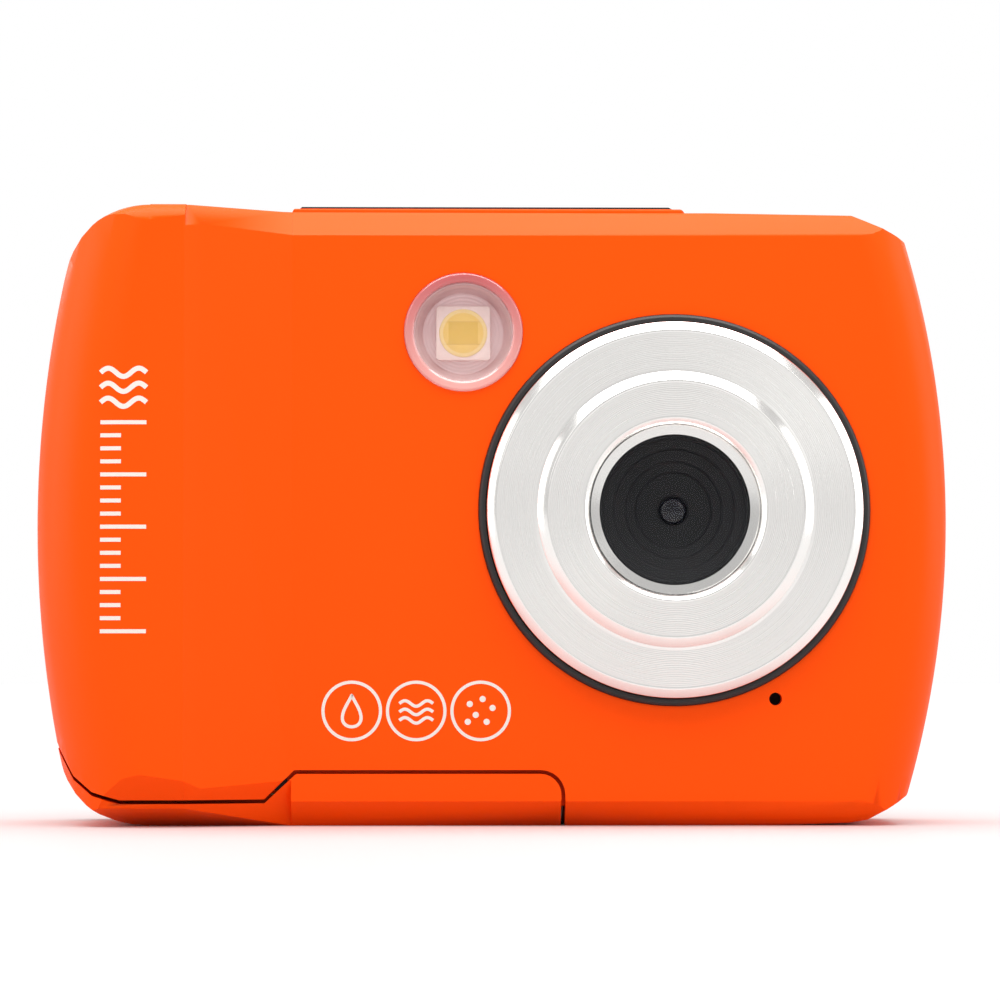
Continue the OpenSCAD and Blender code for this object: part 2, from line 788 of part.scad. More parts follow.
module door_contact() {
    color([0.82, 0.8, 0.72])
    block([-38.6, -5.4, tray_z], [-20.8, 0.8, tray_z + 0.3]);
}

// One turn after another of a helix, as rings of points along it
function coil_point(r, t, turns, h) = [r * cos(360 * turns * t), r * sin(360 * turns * t), h * t];
module coil(r, wire, turns, h) {
    steps = turns * 14;
    sides = 6;
    rings = [for (i = [0:steps]) let (t = i / steps, a = 360 * turns * t, p = coil_point(r, t, turns, h))
        for (j = [0:sides - 1]) let (b = 360 * j / sides)
            [p[0] + wire * cos(b) * cos(a), p[1] + wire * cos(b) * sin(a), p[2] + wire * sin(b)]];
    sides_faces = [for (i = [0:steps - 1], j = [0:sides - 1]) let (k = (j + 1) % sides)
        [i * sides + j, (i + 1) * sides + j, (i + 1) * sides + k, i * sides + k]];
    ends = [[for (j = [0:sides - 1]) j], [for (j = [sides - 1:-1:0]) steps * sides + j]];
    polyhedron(points = rings, faces = concat(sides_faces, ends));
}

module door_springs() {
    color([0.8, 0.8, 0.8])
    for (i = [0, 1])
        translate([cells[i][0], cells[i][1], tray_z + 0.52]) coil(2.8 - 0.8 * i, 0.22, 4, 2.9);
}

module card_slot() {
    color([0.7, 0.7, 0.7])
    difference() {
        block([-9, 2.5, 10], [5, board_y[0], 24]);
        block([-7.6, 2.8, 9], [3.6, 3.7, 23]);
    }
}

module memory_card() {
    color([0.1, 0.1, 0.12])
    block([-7.5, 2.85, 7.8], [3.5, 3.65, 22.8]);
}

module usb_port() {
    color([0.75, 0.75, 0.75])
    difference() {
        block([-17.4, 0.3, 6.5], [-9.7, board_y[0], 15.5]);
        block([-16.9, 0.8, 6], [-10.2, 3.7, 14.5]);
    }
}

module tripod_socket() {
    color([0.78, 0.64, 0.32])
    difference() {
        rod_z(socket[0], socket[1], socket_r, 0.05, socket_h);
        rod_z(socket[0], socket[1], thread_r, -1, socket_h - 0.5);
    }
}

module strap_bar() {
    color([0.75, 0.76, 0.78])
    rod_z(strap_x, strap_y, 0.75, strap_z - 4.2, strap_z + 4.2);
}

module case_screws() {
    color([0.5, 0.5, 0.52])
    for (s = screws)
        difference() {
            union() {
                rod_y(s[0], s[1], screw_r, -4.4, back_y - 1.2);
                rod_y(s[0], s[1], 1.6, back_y - 1.25, back_y - 0.35);
            }
            for (a = [0, 90])
                translate([s[0], back_y - 0.5, s[1]]) rotate([0, a, 0]) cube([1.8, 0.7, 0.35], center = true);
        }
}

front_shell();
rear_shell();
shell_gasket();
top_plate();
shutter_button();
power_button();
top_keypad();
top_board();
speaker();
lens_trim_ring();
lens_outer_ring();
lens_inner_ring();
lens_window();
lens_hood();
lens_element();
lens_barrel();
lens_holder();
infrared_filter();
image_sensor();
sensor_board();
flash_window();
flash_reflector();
flash_led();
flash_phosphor();
flash_board();
microphone();
microphone_boot();
main_board();
board_chips();
lcd_window();
lcd_border();
lcd_module();
zoom_rocker();
mode_button();
play_button();
menu_button();
delete_button();
dpad_carrier();
dpad_ring();
ok_button();
rear_keypad();
button_board();
switch_domes();
status_led();
battery_cells();
battery_cradle();
upper_contacts();
battery_door();
door_seal();
hinge_pin();
door_latch();
door_contact();
door_springs();
card_slot();
memory_card();
usb_port();
tripod_socket();
strap_bar();
case_screws();
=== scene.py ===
# Looks of a compact splash-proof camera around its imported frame. Bare lengths are in mm, the unit below.
import json
import math

import bmesh
import bpy
from mathutils import Matrix, Vector
from mathutils.bvhtree import BVHTree

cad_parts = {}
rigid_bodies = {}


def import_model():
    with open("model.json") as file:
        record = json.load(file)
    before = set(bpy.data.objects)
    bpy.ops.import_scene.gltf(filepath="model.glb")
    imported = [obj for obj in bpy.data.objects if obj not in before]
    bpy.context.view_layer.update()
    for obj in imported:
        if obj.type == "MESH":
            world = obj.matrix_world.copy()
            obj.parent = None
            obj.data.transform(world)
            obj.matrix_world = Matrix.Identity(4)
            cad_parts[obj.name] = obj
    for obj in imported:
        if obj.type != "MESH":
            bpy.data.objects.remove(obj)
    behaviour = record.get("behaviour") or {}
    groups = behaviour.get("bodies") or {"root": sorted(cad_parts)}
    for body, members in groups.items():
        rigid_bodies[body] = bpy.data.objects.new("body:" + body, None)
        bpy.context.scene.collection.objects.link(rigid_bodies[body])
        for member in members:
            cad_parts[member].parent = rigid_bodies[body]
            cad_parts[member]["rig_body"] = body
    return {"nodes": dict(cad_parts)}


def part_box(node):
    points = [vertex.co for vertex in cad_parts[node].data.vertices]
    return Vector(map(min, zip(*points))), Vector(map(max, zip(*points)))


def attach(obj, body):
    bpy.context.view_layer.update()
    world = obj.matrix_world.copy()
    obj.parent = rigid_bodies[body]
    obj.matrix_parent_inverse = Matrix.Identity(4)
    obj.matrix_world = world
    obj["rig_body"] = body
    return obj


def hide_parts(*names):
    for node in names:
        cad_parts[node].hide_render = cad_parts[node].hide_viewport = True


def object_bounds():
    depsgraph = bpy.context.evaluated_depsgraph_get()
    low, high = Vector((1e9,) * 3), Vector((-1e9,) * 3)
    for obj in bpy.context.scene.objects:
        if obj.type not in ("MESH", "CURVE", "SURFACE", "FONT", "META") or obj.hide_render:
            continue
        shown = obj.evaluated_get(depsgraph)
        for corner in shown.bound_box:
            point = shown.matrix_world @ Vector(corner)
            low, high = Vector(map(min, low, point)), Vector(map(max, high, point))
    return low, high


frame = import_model()
cadLow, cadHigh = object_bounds()
mm = 0.001
print("frame loaded:", len(frame["nodes"]), "nodes")


# shader tools

class Wire:  # an output socket; sums and products of wires add Math nodes
    def __init__(self, paint, socket):
        self.paint = paint
        self.socket = socket

    def math(self, operation, *others):
        return self.paint.add("ShaderNodeMath", {"operation": operation}, dict(enumerate((self,) + others)))

    def __add__(self, other):
        return self.math("ADD", other)

    def __sub__(self, other):
        return self.math("SUBTRACT", other)

    def __rsub__(self, other):
        return self.math("MULTIPLY_ADD", -1.0, other)

    def __mul__(self, other):
        return self.math("MULTIPLY", other)

    def __truediv__(self, other):
        return self.math("DIVIDE", other)

    def __gt__(self, other):
        return self.math("GREATER_THAN", other)

    def __lt__(self, other):
        return self.math("LESS_THAN", other)

    def __mod__(self, other):
        return self.math("FLOORED_MODULO", other)

    def __abs__(self):
        return self.math("ABSOLUTE")

    __radd__ = __add__
    __rmul__ = __mul__


class Paint:  # one material: a Principled shader and what feeds it
    def __init__(self, name, values):
        self.material = bpy.data.materials.new(name)
        self.material.use_nodes = True
        self.nodes = self.material.node_tree.nodes
        self.links = self.material.node_tree.links
        self.shader = self.nodes["Principled BSDF"]
        self.feed(self.shader, values)
        self.place = self.add("ShaderNodeTexCoord", {}, {}, "Object")

    def feed(self, node, sockets):
        for key, value in sockets.items():
            if isinstance(value, Wire):
                self.links.new(value.socket, node.inputs[key])
            else:
                node.inputs[key].default_value = value

    def add(self, kind, settings, sockets, output=0):
        node = self.nodes.new(kind)
        for key, value in settings.items():
            setattr(node, key, value)
        self.feed(node, sockets)
        return Wire(self, node.outputs[output])

    def noise(self, scale, detail=2.0, rough=0.5, place=None):
        values = {"Vector": place or self.place, "Scale": scale, "Detail": detail, "Roughness": rough}
        return self.add("ShaderNodeTexNoise", {}, values, "Fac")

    def cells(self, scale):
        return self.add("ShaderNodeTexVoronoi", {}, {"Vector": self.place, "Scale": scale}, "Distance")

    def axes(self):
        split = self.add("ShaderNodeSeparateXYZ", {}, {0: self.place})
        return [Wire(self, socket) for socket in split.socket.node.outputs]

    def radius(self, centre):  # distance from a line along Y
        x, _, z = self.axes()
        across = x - centre[0]
        up = z - centre[2]
        return (across * across + up * up).math("SQRT")

    def between(self, value, low, high):
        return (value > low) * (value < high)

    def mix(self, factor, first, second):
        return self.add("ShaderNodeMix", {"data_type": "RGBA"}, {0: factor, 6: first, 7: second}, 2)

    def bump(self, height, distance):
        values = {"Height": height, "Distance": distance, "Strength": 1.0}
        self.feed(self.shader, {"Normal": self.add("ShaderNodeBump", {}, values)})

    def colour(self, wire):
        self.feed(self.shader, {"Base Color": wire})

    def rough(self, wire):
        self.feed(self.shader, {"Roughness": wire})


def tone(red, green, blue):  # a screen colour, 0 to 255, as linear light
    def linear(c):
        c = c / 255
        return c / 12.92 if c <= 0.04045 else ((c + 0.055) / 1.055) ** 2.4
    return (linear(red), linear(green), linear(blue), 1.0)


def shade(colour, amount):  # a darker or lighter copy
    return tuple(min(1, c * amount) for c in colour[:3]) + (1,)


# materials

def mouldedPlastic(name, colour, look):
    # look: rough, how much it varies, grain size in mm and depth in mm, specular level
    paint = Paint(name, {"Specular IOR Level": look["specular"], "Coat Weight": look.get("coat", 0),
                         "Coat Roughness": 0.12})
    grain = paint.noise(1 / (look["grain"] * mm), 3, 0.6)
    pits = paint.cells(0.6 / (look["grain"] * mm))
    cloud = paint.noise(70, 2)
    paint.colour(paint.mix(cloud, shade(colour, 1 - look["mottle"]), shade(colour, 1 + look["mottle"])))
    paint.rough(look["rough"] - look["vary"] / 2 + look["vary"] * cloud + 0.06 * grain)
    paint.bump(grain * 0.7 + pits * 0.3, look["depth"] * mm)
    return paint.material


orange = mouldedPlastic("orangePlastic", (0.95, 0.074, 0.0, 1),
                        {"rough": 0.36, "vary": 0.05, "grain": 0.16, "depth": 0.006, "mottle": 0.015,
                         "specular": 0.09})
black = mouldedPlastic("blackPlastic", tone(30, 27, 27),
                       {"rough": 0.4, "vary": 0.1, "grain": 0.12, "depth": 0.006, "mottle": 0.1,
                        "specular": 0.45})
buttonBlack = mouldedPlastic("buttonBlack", tone(38, 37, 39),
                             {"rough": 0.3, "vary": 0.08, "grain": 0.2, "depth": 0.003, "mottle": 0.06,
                              "specular": 0.5, "coat": 0.15})
hoodBlack = mouldedPlastic("hoodBlack", tone(13, 13, 14),
                           {"rough": 0.62, "vary": 0.1, "grain": 0.1, "depth": 0.008, "mottle": 0.08,
                            "specular": 0.3})
rubber = mouldedPlastic("sealRubber", tone(44, 44, 47),
                        {"rough": 0.75, "vary": 0.1, "grain": 0.25, "depth": 0.01, "mottle": 0.1,
                         "specular": 0.2})
orangeSeal = mouldedPlastic("orangeSeal", (0.8, 0.06, 0.002, 1),
                            {"rough": 0.6, "vary": 0.1, "grain": 0.25, "depth": 0.01, "mottle": 0.05,
                             "specular": 0.2})
silicone = mouldedPlastic("keypadSilicone", tone(120, 120, 126),
                          {"rough": 0.6, "vary": 0.1, "grain": 0.3, "depth": 0.006, "mottle": 0.05,
                           "specular": 0.35})
cradle = mouldedPlastic("cradlePlastic", tone(62, 62, 66),
                        {"rough": 0.55, "vary": 0.1, "grain": 0.2, "depth": 0.008, "mottle": 0.08,
                         "specular": 0.4})
ink = mouldedPlastic("printInk", tone(222, 214, 206),
                     {"rough": 0.5, "vary": 0.1, "grain": 0.12, "depth": 0.003, "mottle": 0.03,
                      "specular": 0.3})


def turnedMetal(name, centre, colour, look):
    # circular tool marks about a line along Y: fine lines in the gloss and the height
    paint = Paint(name, {"Metallic": 1.0, "IOR": 1.6})
    ring = paint.radius(centre)
    lane = paint.add("ShaderNodeCombineXYZ", {}, {0: ring, 1: 0.0, 2: 0.0})
    line = paint.noise(look["lines"], 2, 0.7, lane)
    cloud = paint.noise(90, 2)
    brushed = paint.between(ring, look["from"] * mm, look["to"] * mm)
    paint.colour(paint.mix(line * 0.7 + cloud * 0.3, shade(colour, 0.86), shade(colour, 1.06)))
    paint.rough(look["polish"] + brushed * (look["satin"] - look["polish"]) + 0.08 * line * brushed)
    paint.bump(line * brushed, look["depth"] * mm)
    return paint.material


def plainMetal(name, colour, rough, streak=900, depth=0.002):
    paint = Paint(name, {"Metallic": 1.0})
    stretch = paint.add("ShaderNodeMapping", {}, {"Vector": paint.place, "Scale": (1.0, 1.0, 0.08)})
    line = paint.noise(streak, 2, 0.6, stretch)
    paint.colour(paint.mix(line, shade(colour, 0.85), shade(colour, 1.1)))
    paint.rough(rough + line * 0.15)
    paint.bump(line, depth * mm)
    return paint.material


silver = tone(245, 243, 240)
steel = plainMetal("steel", tone(205, 205, 208), 0.22)
brass = plainMetal("brass", tone(214, 176, 96), 0.25)
gilt = plainMetal("contactMetal", tone(222, 204, 150), 0.2)


def clearPlastic(name, colour, look):
    # look: alpha, rough, specular and coat levels
    paint = Paint(name, {"Specular IOR Level": look["specular"], "Coat Weight": look["coat"],
                         "Coat Roughness": 0.03})
    film = paint.noise(160, 2)
    paint.colour(paint.mix(film, shade(colour, 0.92), shade(colour, 1.05)))
    paint.feed(paint.shader, {"Alpha": look["alpha"] + film * 0.02})
    paint.rough(look["rough"] + film * 0.03)
    paint.material.blend_method = "BLEND"
    return paint.material


glass = clearPlastic("clearWindow", tone(60, 62, 70),
                     {"alpha": 0.03, "rough": 0.03, "specular": 0.5, "coat": 0.1})
displayGlass = clearPlastic("displayWindow", tone(8, 8, 10),
                            {"alpha": 0.88, "rough": 0.05, "specular": 0.3, "coat": 0.0})
ledGlass = clearPlastic("ledLens", tone(120, 200, 130),
                        {"alpha": 0.8, "rough": 0.15, "specular": 0.5, "coat": 0.3})


def flashClear(centre, rim):
    # thin in the middle and thick at the rim, where a painted reflection of the orange case around it tints
    # it pink
    paint = Paint("flashClear", {"Specular IOR Level": 0.8, "IOR": 1.6, "Coat Weight": 0.6,
                                 "Coat Roughness": 0.04, "Roughness": 0.08})
    ring = paint.radius(centre)
    thick = (ring - rim["inner"] * mm) / (0.15 * mm)
    thick = thick.math("MAXIMUM", 0.0).math("SMOOTH_MIN", 1.0, 0.1)
    film = paint.noise(300, 2)
    # painted light: lighter towards the bottom, darker and pinker towards the top
    height = paint.axes()[2]
    low = (centre[2] - height) / (rim["outer"] * mm) * 0.5 + 0.5
    paint.colour(paint.mix(low, tone(205, 92, 96), tone(238, 180, 172)))
    paint.feed(paint.shader, {"Alpha": 0.1 + thick * (0.5 + 0.08 * film)})
    paint.material.blend_method = "BLEND"
    return paint.material


def flashMirror(centre):
    paint = Paint("reflectorMetal", {"Metallic": 0.75})
    ring = paint.radius(centre)
    wave = (ring * (2 * math.pi / (0.35 * mm))).math("SINE")
    cloud = paint.noise(260, 2)
    # pinkish tint: a painted reflection of the orange case around the flash
    paint.colour(paint.mix(cloud, tone(212, 188, 190), tone(240, 226, 226)))
    paint.rough(0.3 + cloud * 0.12)
    paint.bump(wave, 0.008 * mm)
    return paint.material


def ledCeramic():
    paint = Paint("ledCeramic", {"Specular IOR Level": 0.5})
    cloud = paint.noise(1500, 3)
    paint.colour(paint.mix(cloud, tone(226, 214, 208), tone(246, 238, 232)))
    paint.rough(0.4 + 0.1 * cloud)
    paint.bump(cloud, 0.006 * mm)
    return paint.material


def ledPhosphor(centre):
    # yellow gel with the die, dieWide by dieHigh each way from the middle, showing through it
    dieWide, dieHigh, seamHigh, gelEdge = 1.5 * mm, 1.1 * mm, 1.2 * mm, 2.05 * mm
    paint = Paint("ledPhosphor", {"Specular IOR Level": 0.6, "Coat Weight": 0.5, "Coat Roughness": 0.1,
                                  "Subsurface Weight": 0.2, "Subsurface Radius": (0.001, 0.0008, 0.0002)})
    x, _, z = paint.axes()
    across, up = abs(x - centre[0]), abs(z - centre[2])
    die = (across < dieWide) * (up < dieHigh)
    seam = paint.between(up, dieHigh, seamHigh)
    cloud = paint.noise(900, 3)
    rim = paint.radius(centre) > gelEdge
    body = paint.mix(cloud, tone(228, 200, 92), tone(238, 214, 112))
    core = paint.mix(cloud, tone(212, 184, 60), tone(224, 196, 78))
    base = paint.mix(die, body, core)
    base = paint.mix(seam * 0.5, base, tone(190, 160, 60))
    paint.colour(paint.mix(rim * 0.6, base, tone(240, 230, 170)))
    paint.rough(0.3 + cloud * 0.15)
    paint.bump(cloud, 0.01 * mm)
    return paint.material


def circuitBoard(name, mask, copper):
    # solder mask over square-cornered copper tracks, with square pads on a grid
    pitch, padHalf = 2.54 * mm, 0.3 * mm
    paint = Paint(name, {"Specular IOR Level": 0.5, "Coat Weight": 0.3, "Coat Roughness": 0.2})
    x, _, z = paint.axes()
    block = paint.add("ShaderNodeTexVoronoi", {"distance": "CHEBYCHEV"},
                      {"Vector": paint.place, "Scale": 260}, "Distance")
    track = (block * 5 % 1.0) < 0.3
    pad = (abs((x % pitch) - pitch / 2) < padHalf) * (abs((z % pitch) - pitch / 2) < padHalf)
    cloud = paint.noise(200, 2)
    base = paint.mix(track, mask, shade(mask, 1.5))
    base = paint.mix(pad, base, copper)
    paint.colour(base)
    paint.feed(paint.shader, {"Metallic": pad * 0.9})
    paint.rough(0.3 + 0.15 * cloud)
    paint.bump(track * 0.5 + pad, 0.02 * mm)
    return paint.material


boardGreen = circuitBoard("boardGreen", tone(18, 92, 52), tone(222, 190, 110))
boardWhite = circuitBoard("boardWhite", tone(226, 224, 216), tone(222, 190, 110))


def chipPackage():
    paint = Paint("chipBlack", {"Specular IOR Level": 0.4})
    grit = paint.noise(5000, 3)
    paint.colour(paint.mix(grit, tone(26, 26, 28), tone(46, 46, 50)))
    paint.rough(0.5 + grit * 0.2)
    paint.bump(grit, 0.01 * mm)
    return paint.material


chip = chipPackage()


def displayBlack():
    # a switched-off screen: broad, faint clouds of blue under a gloss
    paint = Paint("displayBlack", {"Specular IOR Level": 0.3})
    cloud = paint.noise(40, 2)
    paint.colour(paint.mix(cloud, tone(9, 10, 14), tone(17, 19, 26)))
    paint.rough(0.18 + 0.06 * cloud)
    return paint.material


screen = displayBlack()


def cellWrap(low, high):
    # shrink sleeve: a dark body, a bright band at the top and two thin rings, with bare ends
    paint = Paint("cellWrap", {"Specular IOR Level": 0.55, "Coat Weight": 0.4, "Coat Roughness": 0.08})
    share = (paint.axes()[2] - low) / (high - low)
    bare = paint.between(share, 0.012, 0.988)
    band = share > 0.72
    rings = paint.between(share, 0.66, 0.68) + paint.between(share, 0.62, 0.63)
    crease = paint.noise(500, 2)
    base = paint.mix(band, tone(30, 66, 54), tone(196, 200, 198))
    base = paint.mix(rings, base, tone(196, 200, 198))
    paint.colour(paint.mix(bare, tone(206, 206, 208), base))
    paint.feed(paint.shader, {"Metallic": 1 - bare})
    paint.rough(0.28 + crease * 0.08)
    paint.bump(crease, 0.01 * mm)
    return paint.material


print("materials ready")


# mesh tools

def newPiece(name, bm, material, body, nodes=(), sharp=32):
    # a finished mesh as an object on its body; edges over the sharp angle stay crisp
    mesh = bpy.data.meshes.new(name)
    for face in bm.faces:
        face.smooth = True
    for edge in bm.edges:
        edge.smooth = not edge.is_manifold or edge.calc_face_angle(0) < math.radians(sharp)
    softened = bm.edges.layers.float.get("bevel_weight_edge")
    if softened:
        for edge in bm.edges:
            edge.smooth = edge.smooth or edge[softened] > 0
    bm.to_mesh(mesh)
    bm.free()
    mesh.materials.append(material)
    piece = bpy.data.objects.new(name, mesh)
    bpy.context.scene.collection.objects.link(piece)
    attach(piece, body)
    if nodes:
        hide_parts(*nodes)
    return piece


def weighted(piece):
    flat = piece.modifiers.new("weightedNormals", "WEIGHTED_NORMAL")
    flat.keep_sharp = True
    return piece


def bevelEdges(bm, edges, width, segments, clamp=False):
    bmesh.ops.bevel(bm, geom=edges, offset=width * mm, offset_type="OFFSET", affect="EDGES",
                    segments=segments, profile=0.5, material=-1, clamp_overlap=clamp)


def roundOff(bm, width, segments=3, angle=28):
    # rounds every edge sharper than the angle
    edges = [e for e in bm.edges if e.is_manifold and e.calc_face_angle(0) > math.radians(angle)]
    bevelEdges(bm, edges, width, segments, True)


def runsAlongY(edge):
    return abs((edge.verts[0].co - edge.verts[1].co).y) > 0.5 * mm


def mergedCopy(node, reach=0.01, flat=0.4):
    # a welded copy of a CAD node with its flat faces made whole
    bm = bmesh.new()
    bm.from_mesh(frame["nodes"][node].data)
    bmesh.ops.remove_doubles(bm, verts=bm.verts, dist=reach * mm)
    bmesh.ops.dissolve_limit(bm, angle_limit=math.radians(flat), verts=bm.verts, edges=bm.edges)
    return bm


def bodyOf(node):
    return frame["nodes"][node]["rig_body"]


def middle(node):
    low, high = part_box(node)
    return (low + high) / 2


def turned(profile, centre, segments=160, closed=True):
    # spins a profile of (radius, forward) pairs in mm about a line along Y
    bm = bmesh.new()
    points = [bm.verts.new((centre[0] + r * mm, -f * mm, centre[2])) for r, f in profile]
    pairs = list(zip(points, points[1:]))
    if closed:
        pairs.append((points[-1], points[0]))
    edges = [bm.edges.new(pair) for pair in pairs]
    bmesh.ops.spin(bm, geom=points + edges, cent=centre, axis=(0, 1, 0), dvec=(0, 0, 0),
                   angle=2 * math.pi, steps=segments, use_merge=True)
    bmesh.ops.remove_doubles(bm, verts=bm.verts, dist=0.002 * mm)
    bmesh.ops.recalc_face_normals(bm, faces=bm.faces)
    return bm


def tipUp(bm, place):
    # turns what faces forward to face up, then moves it
    bmesh.ops.rotate(bm, cent=(0, 0, 0), matrix=Matrix.Rotation(math.radians(-90), 3, "X"), verts=bm.verts)
    bmesh.ops.translate(bm, vec=place, verts=bm.verts)


def turnedUp(profile, centre, segments):
    # spins an open profile of (radius, height) pairs in mm about a line along Z
    bm = turned(profile, (0, 0, 0), segments, closed=False)
    tipUp(bm, (centre[0], centre[1], 0))
    return bm


def ribbon(bm, path, width, closed=False):
    # a flat strip along a path of (x, z) points in mm, in the plane y = 0
    points = [Vector((x, 0, z)) for x, z in path]
    count = len(points)
    rows = []
    for i in range(count):
        before = points[i - 1] if i or closed else points[i]
        after = points[(i + 1) % count] if i < count - 1 or closed else points[i]
        side = (after - before).normalized().cross(Vector((0, 1, 0))) * width / 2
        rows.append((points[i] - side, points[i] + side))
    first = [bm.verts.new(p * mm) for p in rows[0]]
    edge = bm.edges.new(first)
    for low, high in rows[1:] + ([rows[0]] if closed else []):
        made = bmesh.ops.extrude_edge_only(bm, edges=[edge])["geom"]
        edge = next(e for e in made if isinstance(e, bmesh.types.BMEdge))
        ends = [v for v in made if isinstance(v, bmesh.types.BMVert)]
        ends[0].co, ends[1].co = low * mm, high * mm


def circlePath(x, z, radius, count=40, start=0, turn=360):
    steps = count if turn == 360 else count + 1
    return [(x + radius * math.cos(math.radians(start + turn * i / count)),
             z + radius * math.sin(math.radians(start + turn * i / count))) for i in range(steps)]


def finishPrint(name, bm, material, body, surface, lift=0.03, towards=1):
    # lays flat shapes on the surface in front of or behind them and gives them a thickness
    bmesh.ops.remove_doubles(bm, verts=bm.verts, dist=0.001 * mm)
    tree = BVHTree.FromBMesh(surface)
    for vert in bm.verts:
        hit, normal, _, _ = tree.ray_cast(Vector((vert.co.x, -towards * 0.05, vert.co.z)),
                                          Vector((0, towards, 0)))
        vert.co = hit + normal * lift * mm
    bmesh.ops.recalc_face_normals(bm, faces=bm.faces)
    bmesh.ops.solidify(bm, geom=bm.faces, thickness=lift * mm * 0.8)
    bmesh.ops.recalc_face_normals(bm, faces=bm.faces)
    return newPiece(name, bm, material, body)


# case

# edge: rounding of the long, sharp, outer edges with room for it; weld and flat: clean-up of the CAD mesh;
# inset and frontInset: how far in from the shell's box an edge still counts as outer
caseLook = {"edge": 0.16, "segments": 3, "angle": 35, "shortest": 1.2, "room": 0.95, "smooth": 24,
            "weld": 0.012, "flat": 0.1, "inset": 2.6, "frontInset": 8.5, "splitReach": 0.02}


def roomFor(edge, width):
    # the widest rounding that this edge's neighbours leave room for, as a share of width
    room = 1.0
    for face in edge.link_faces:
        for vert in edge.verts:
            other = next(e for e in face.edges if e is not edge and vert in e.verts)
            along = (edge.other_vert(vert).co - vert.co).normalized()
            beside = (other.other_vert(vert).co - vert.co).normalized()
            turn = along.angle(beside, 0)
            room = min(room, 0.45 * other.calc_length() * math.sin(turn) / width)
    return room


def isOuter(edge, low, high, split):
    # whether an edge lies on the outside of the case, where the eye meets it
    point = (edge.verts[0].co + edge.verts[1].co) / 2
    normal = edge.link_faces[0].normal + edge.link_faces[1].normal
    inset, frontInset = caseLook["inset"] * mm, caseLook["frontInset"] * mm
    if all(abs(vert.co.y - split) < caseLook["splitReach"] * mm for vert in edge.verts):
        return False
    near = [point.x < low.x + inset, point.x > high.x - inset, point.y < low.y + frontInset,
            point.y > high.y - inset, point.z < low.z + inset, point.z > high.z - inset]
    return any(near) and normal.dot(point - (low + high) / 2) > 0


def shellPiece(name, node):
    bm = mergedCopy(node, caseLook["weld"], caseLook["flat"])
    low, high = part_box(node)
    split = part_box("rear_shell")[0].y
    weight = bm.edges.layers.float.new("bevel_weight_edge")
    for edge in bm.edges:
        if (edge.is_manifold and edge.calc_face_angle(0) > math.radians(caseLook["angle"])
                and edge.calc_length() > caseLook["shortest"] * mm and isOuter(edge, low, high, split)
                and edge.is_convex and roomFor(edge, caseLook["edge"] * mm) > caseLook["room"]):
            edge[weight] = 1
    piece = newPiece(name, bm, orange, bodyOf(node), [node], caseLook["smooth"])
    bevel = piece.modifiers.new("softEdges", "BEVEL")
    bevel.width = caseLook["edge"] * mm
    bevel.segments = caseLook["segments"]
    bevel.limit_method = "WEIGHT"
    bevel.use_clamp_overlap = True
    bevel.profile = 0.5
    return weighted(piece)


frontSurface = mergedCopy("front_shell", caseLook["weld"])
shellPiece("frontShell", "front_shell")
shellPiece("rearShell", "rear_shell")
shellPiece("batteryDoor", "battery_door")


# each part is its x from and to, then its z from and to
ledge = {"front": -7.05, "back": -6.66, "round": 0.1,
         "parts": ((-19.5, 8, 4.7, 6.3), (6.2, 8, 2, 4.7), (-24, -19.5, 3.3, 6.3))}


def doorLedge():
    # the step behind the door's front edge that the seam shows
    bm = bmesh.new()
    y0, y1 = ledge["front"], ledge["back"]
    for x0, x1, z0, z1 in ledge["parts"]:
        made = bmesh.ops.create_cube(bm, size=1)["verts"]
        bmesh.ops.scale(bm, vec=Vector((x1 - x0, y1 - y0, z1 - z0)) * mm, verts=made)
        bmesh.ops.translate(bm, vec=Vector((x0 + x1, y0 + y1, z0 + z1)) / 2 * mm, verts=made)
    roundOff(bm, ledge["round"])
    newPiece("doorLedge", bm, orange, "case")


doorLedge()
print("case done")


# plain pieces: a softened copy of the CAD solid with its own finish

plainPieces = {
    "shell_gasket": (rubber, "seal_rubber", 0.1),
    "top_plate": (black, "black_plastic", 0.15),
    "shutter_button": (buttonBlack, "black_plastic", 0.2),
    "top_keypad": (silicone, "keypad_silicone", 0.15),
    "top_board": (boardGreen, "board_green", 0.05),
    "speaker": (black, "black_plastic", 0.15),
    "lens_barrel": (hoodBlack, "hood_black", 0.15),
    "lens_holder": (hoodBlack, "hood_black", 0.15),
    "infrared_filter": (glass, "clear_window", 0.04),
    "image_sensor": (chip, "chip_black", 0.08),
    "sensor_board": (boardGreen, "board_green", 0.05),
    "flash_board": (boardWhite, "board_white", 0.05),
    "microphone": (rubber, "steel", 0.1),
    "microphone_boot": (rubber, "seal_rubber", 0.1),
    "main_board": (boardGreen, "board_green", 0.08),
    "board_chips": (chip, "chip_black", 0.08),
    "lcd_border": (screen, "display_black", 0.03),
    "lcd_module": (screen, "display_black", 0.08),
    "zoom_rocker": (buttonBlack, "black_plastic", 0.3),
    "dpad_carrier": (silicone, "keypad_silicone", 0.1),
    "rear_keypad": (silicone, "keypad_silicone", 0.15),
    "button_board": (boardGreen, "board_green", 0.08),
    "switch_domes": (steel, "steel", 0.08),
    "status_led": (ledGlass, "led_lens", 0.1),
    "battery_cradle": (cradle, "cradle_plastic", 0.12),
    "upper_contacts": (gilt, "contact_metal", 0.05),
    "door_seal": (orangeSeal, "seal_rubber", 0.15),
    "hinge_pin": (steel, "steel", 0.08),
    "door_latch": (buttonBlack, "black_plastic", 0.12),
    "door_contact": (gilt, "contact_metal", 0.05),
    "card_slot": (steel, "steel", 0.08),
    "usb_port": (steel, "steel", 0.08),
    "strap_bar": (steel, "steel", 0.1),
    "case_screws": (steel, "steel", 0.06),
}
for node, (material, slot, width) in plainPieces.items():
    bm = mergedCopy(node)
    roundOff(bm, width, 3)
    words = node.split("_")
    name = words[0] + "".join(word.capitalize() for word in words[1:])
    weighted(newPiece(name, bm, material, bodyOf(node), [node]))
print("plain pieces done:", len(plainPieces))


# lens

